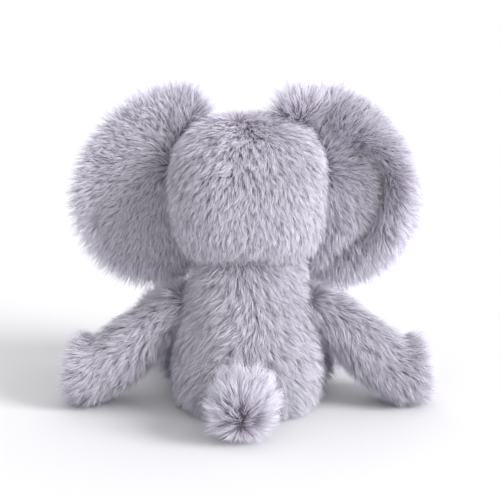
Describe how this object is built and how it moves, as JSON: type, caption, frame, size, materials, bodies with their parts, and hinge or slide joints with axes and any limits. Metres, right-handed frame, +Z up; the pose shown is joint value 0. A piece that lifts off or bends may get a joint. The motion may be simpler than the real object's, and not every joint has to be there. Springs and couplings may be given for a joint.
{
  "type": "stuffed elephant",
  "caption": "Seated plush elephant with a round head, large dished ears, a trunk, short arms and legs, a tufted tail and a weighted seat.",
  "frame": {"origin": "middle of the round base panel that the toy sits on", "axes": "+Z up; the face looks along -Y, so the tail is on the +Y side; +X is the elephant's own left"},
  "size_m": [0.225, 0.1929, 0.197],
  "materials": {
    "long_pile": "long soft pile",
    "short_pile": "short velvety pile",
    "stuffing": "loose fibre",
    "pouch_cloth": "plain weave",
    "pellets": "satin",
    "eye_black": "polished",
    "washer_white": "moulded"
  },
  "bodies": {
    "torso": {"body_skin": "long_pile", "seat_panel": "long_pile", "body_stuffing": "stuffing", "pellet_pouch": "pouch_cloth", "seat_pellets": "pellets"},
    "head": {"head_skin": "long_pile", "head_stuffing": "stuffing", "left_eye": "eye_black", "right_eye": "eye_black", "left_eye_washer": "washer_white", "right_eye_washer": "washer_white"},
    "trunk": {"trunk_skin": "long_pile", "trunk_stuffing": "stuffing", "trunk_end_disc": "short_pile"},
    "left_ear": {"left_ear_back": "long_pile", "left_ear_wadding": "stuffing", "left_ear_lining": "short_pile"},
    "right_ear": {"right_ear_back": "long_pile", "right_ear_wadding": "stuffing", "right_ear_lining": "short_pile"},
    "left_arm": {"left_arm_skin": "long_pile", "left_arm_stuffing": "stuffing", "left_hand_pad": "short_pile"},
    "right_arm": {"right_arm_skin": "long_pile", "right_arm_stuffing": "stuffing", "right_hand_pad": "short_pile"},
    "left_leg": {"left_leg_skin": "long_pile", "left_leg_stuffing": "stuffing", "left_sole_pad": "short_pile"},
    "right_leg": {"right_leg_skin": "long_pile", "right_leg_stuffing": "stuffing", "right_sole_pad": "short_pile"},
    "tail": {"tail_skin": "long_pile", "tail_core": "stuffing"}
  },
  "joints": [
    {"name": "head_nod", "type": "hinge", "parent": "torso", "child": "head", "pos_m": [0, 0, 0.082], "axis": [1, 0, 0], "range_deg": [-15, 15], "stiffness_Nm_per_rad": 0.5},
    {"name": "trunk_lift", "type": "hinge", "parent": "head", "child": "trunk", "pos_m": [0, -0.04568, 0.11951], "axis": [-1, 0, 0], "range_deg": [-5, 40], "stiffness_Nm_per_rad": 0.03},
    {"name": "left_ear_flap", "type": "hinge", "parent": "head", "child": "left_ear", "pos_m": [0.0465, -0.008, 0.136], "axis": [0, 0, 1], "range_deg": [-20, 20], "stiffness_Nm_per_rad": 0.03},
    {"name": "right_ear_flap", "type": "hinge", "parent": "head", "child": "right_ear", "pos_m": [-0.0465, -0.008, 0.136], "axis": [0, 0, -1], "range_deg": [-20, 20], "stiffness_Nm_per_rad": 0.03},
    {"name": "left_arm_swing", "type": "hinge", "parent": "torso", "child": "left_arm", "pos_m": [0.04399, 0, 0.061], "axis": [0, 0, -1], "range_deg": [-15, 25], "stiffness_Nm_per_rad": 0.05},
    {"name": "right_arm_swing", "type": "hinge", "parent": "torso", "child": "right_arm", "pos_m": [-0.04399, 0, 0.061], "axis": [0, 0, 1], "range_deg": [-15, 25], "stiffness_Nm_per_rad": 0.05},
    {"name": "left_leg_swing", "type": "hinge", "parent": "torso", "child": "left_leg", "pos_m": [0.03406, -0.03289, 0.0208], "axis": [0, 0, 1], "range_deg": [-8, 12], "stiffness_Nm_per_rad": 0.08},
    {"name": "right_leg_swing", "type": "hinge", "parent": "torso", "child": "right_leg", "pos_m": [-0.03406, -0.03289, 0.0208], "axis": [0, 0, -1], "range_deg": [-8, 12], "stiffness_Nm_per_rad": 0.08},
    {"name": "tail_wag", "type": "hinge", "parent": "torso", "child": "tail", "pos_m": [0, 0.04608, 0.033], "axis": [0, 0, 1], "range_deg": [-30, 30], "stiffness_Nm_per_rad": 0.01}
  ]
}
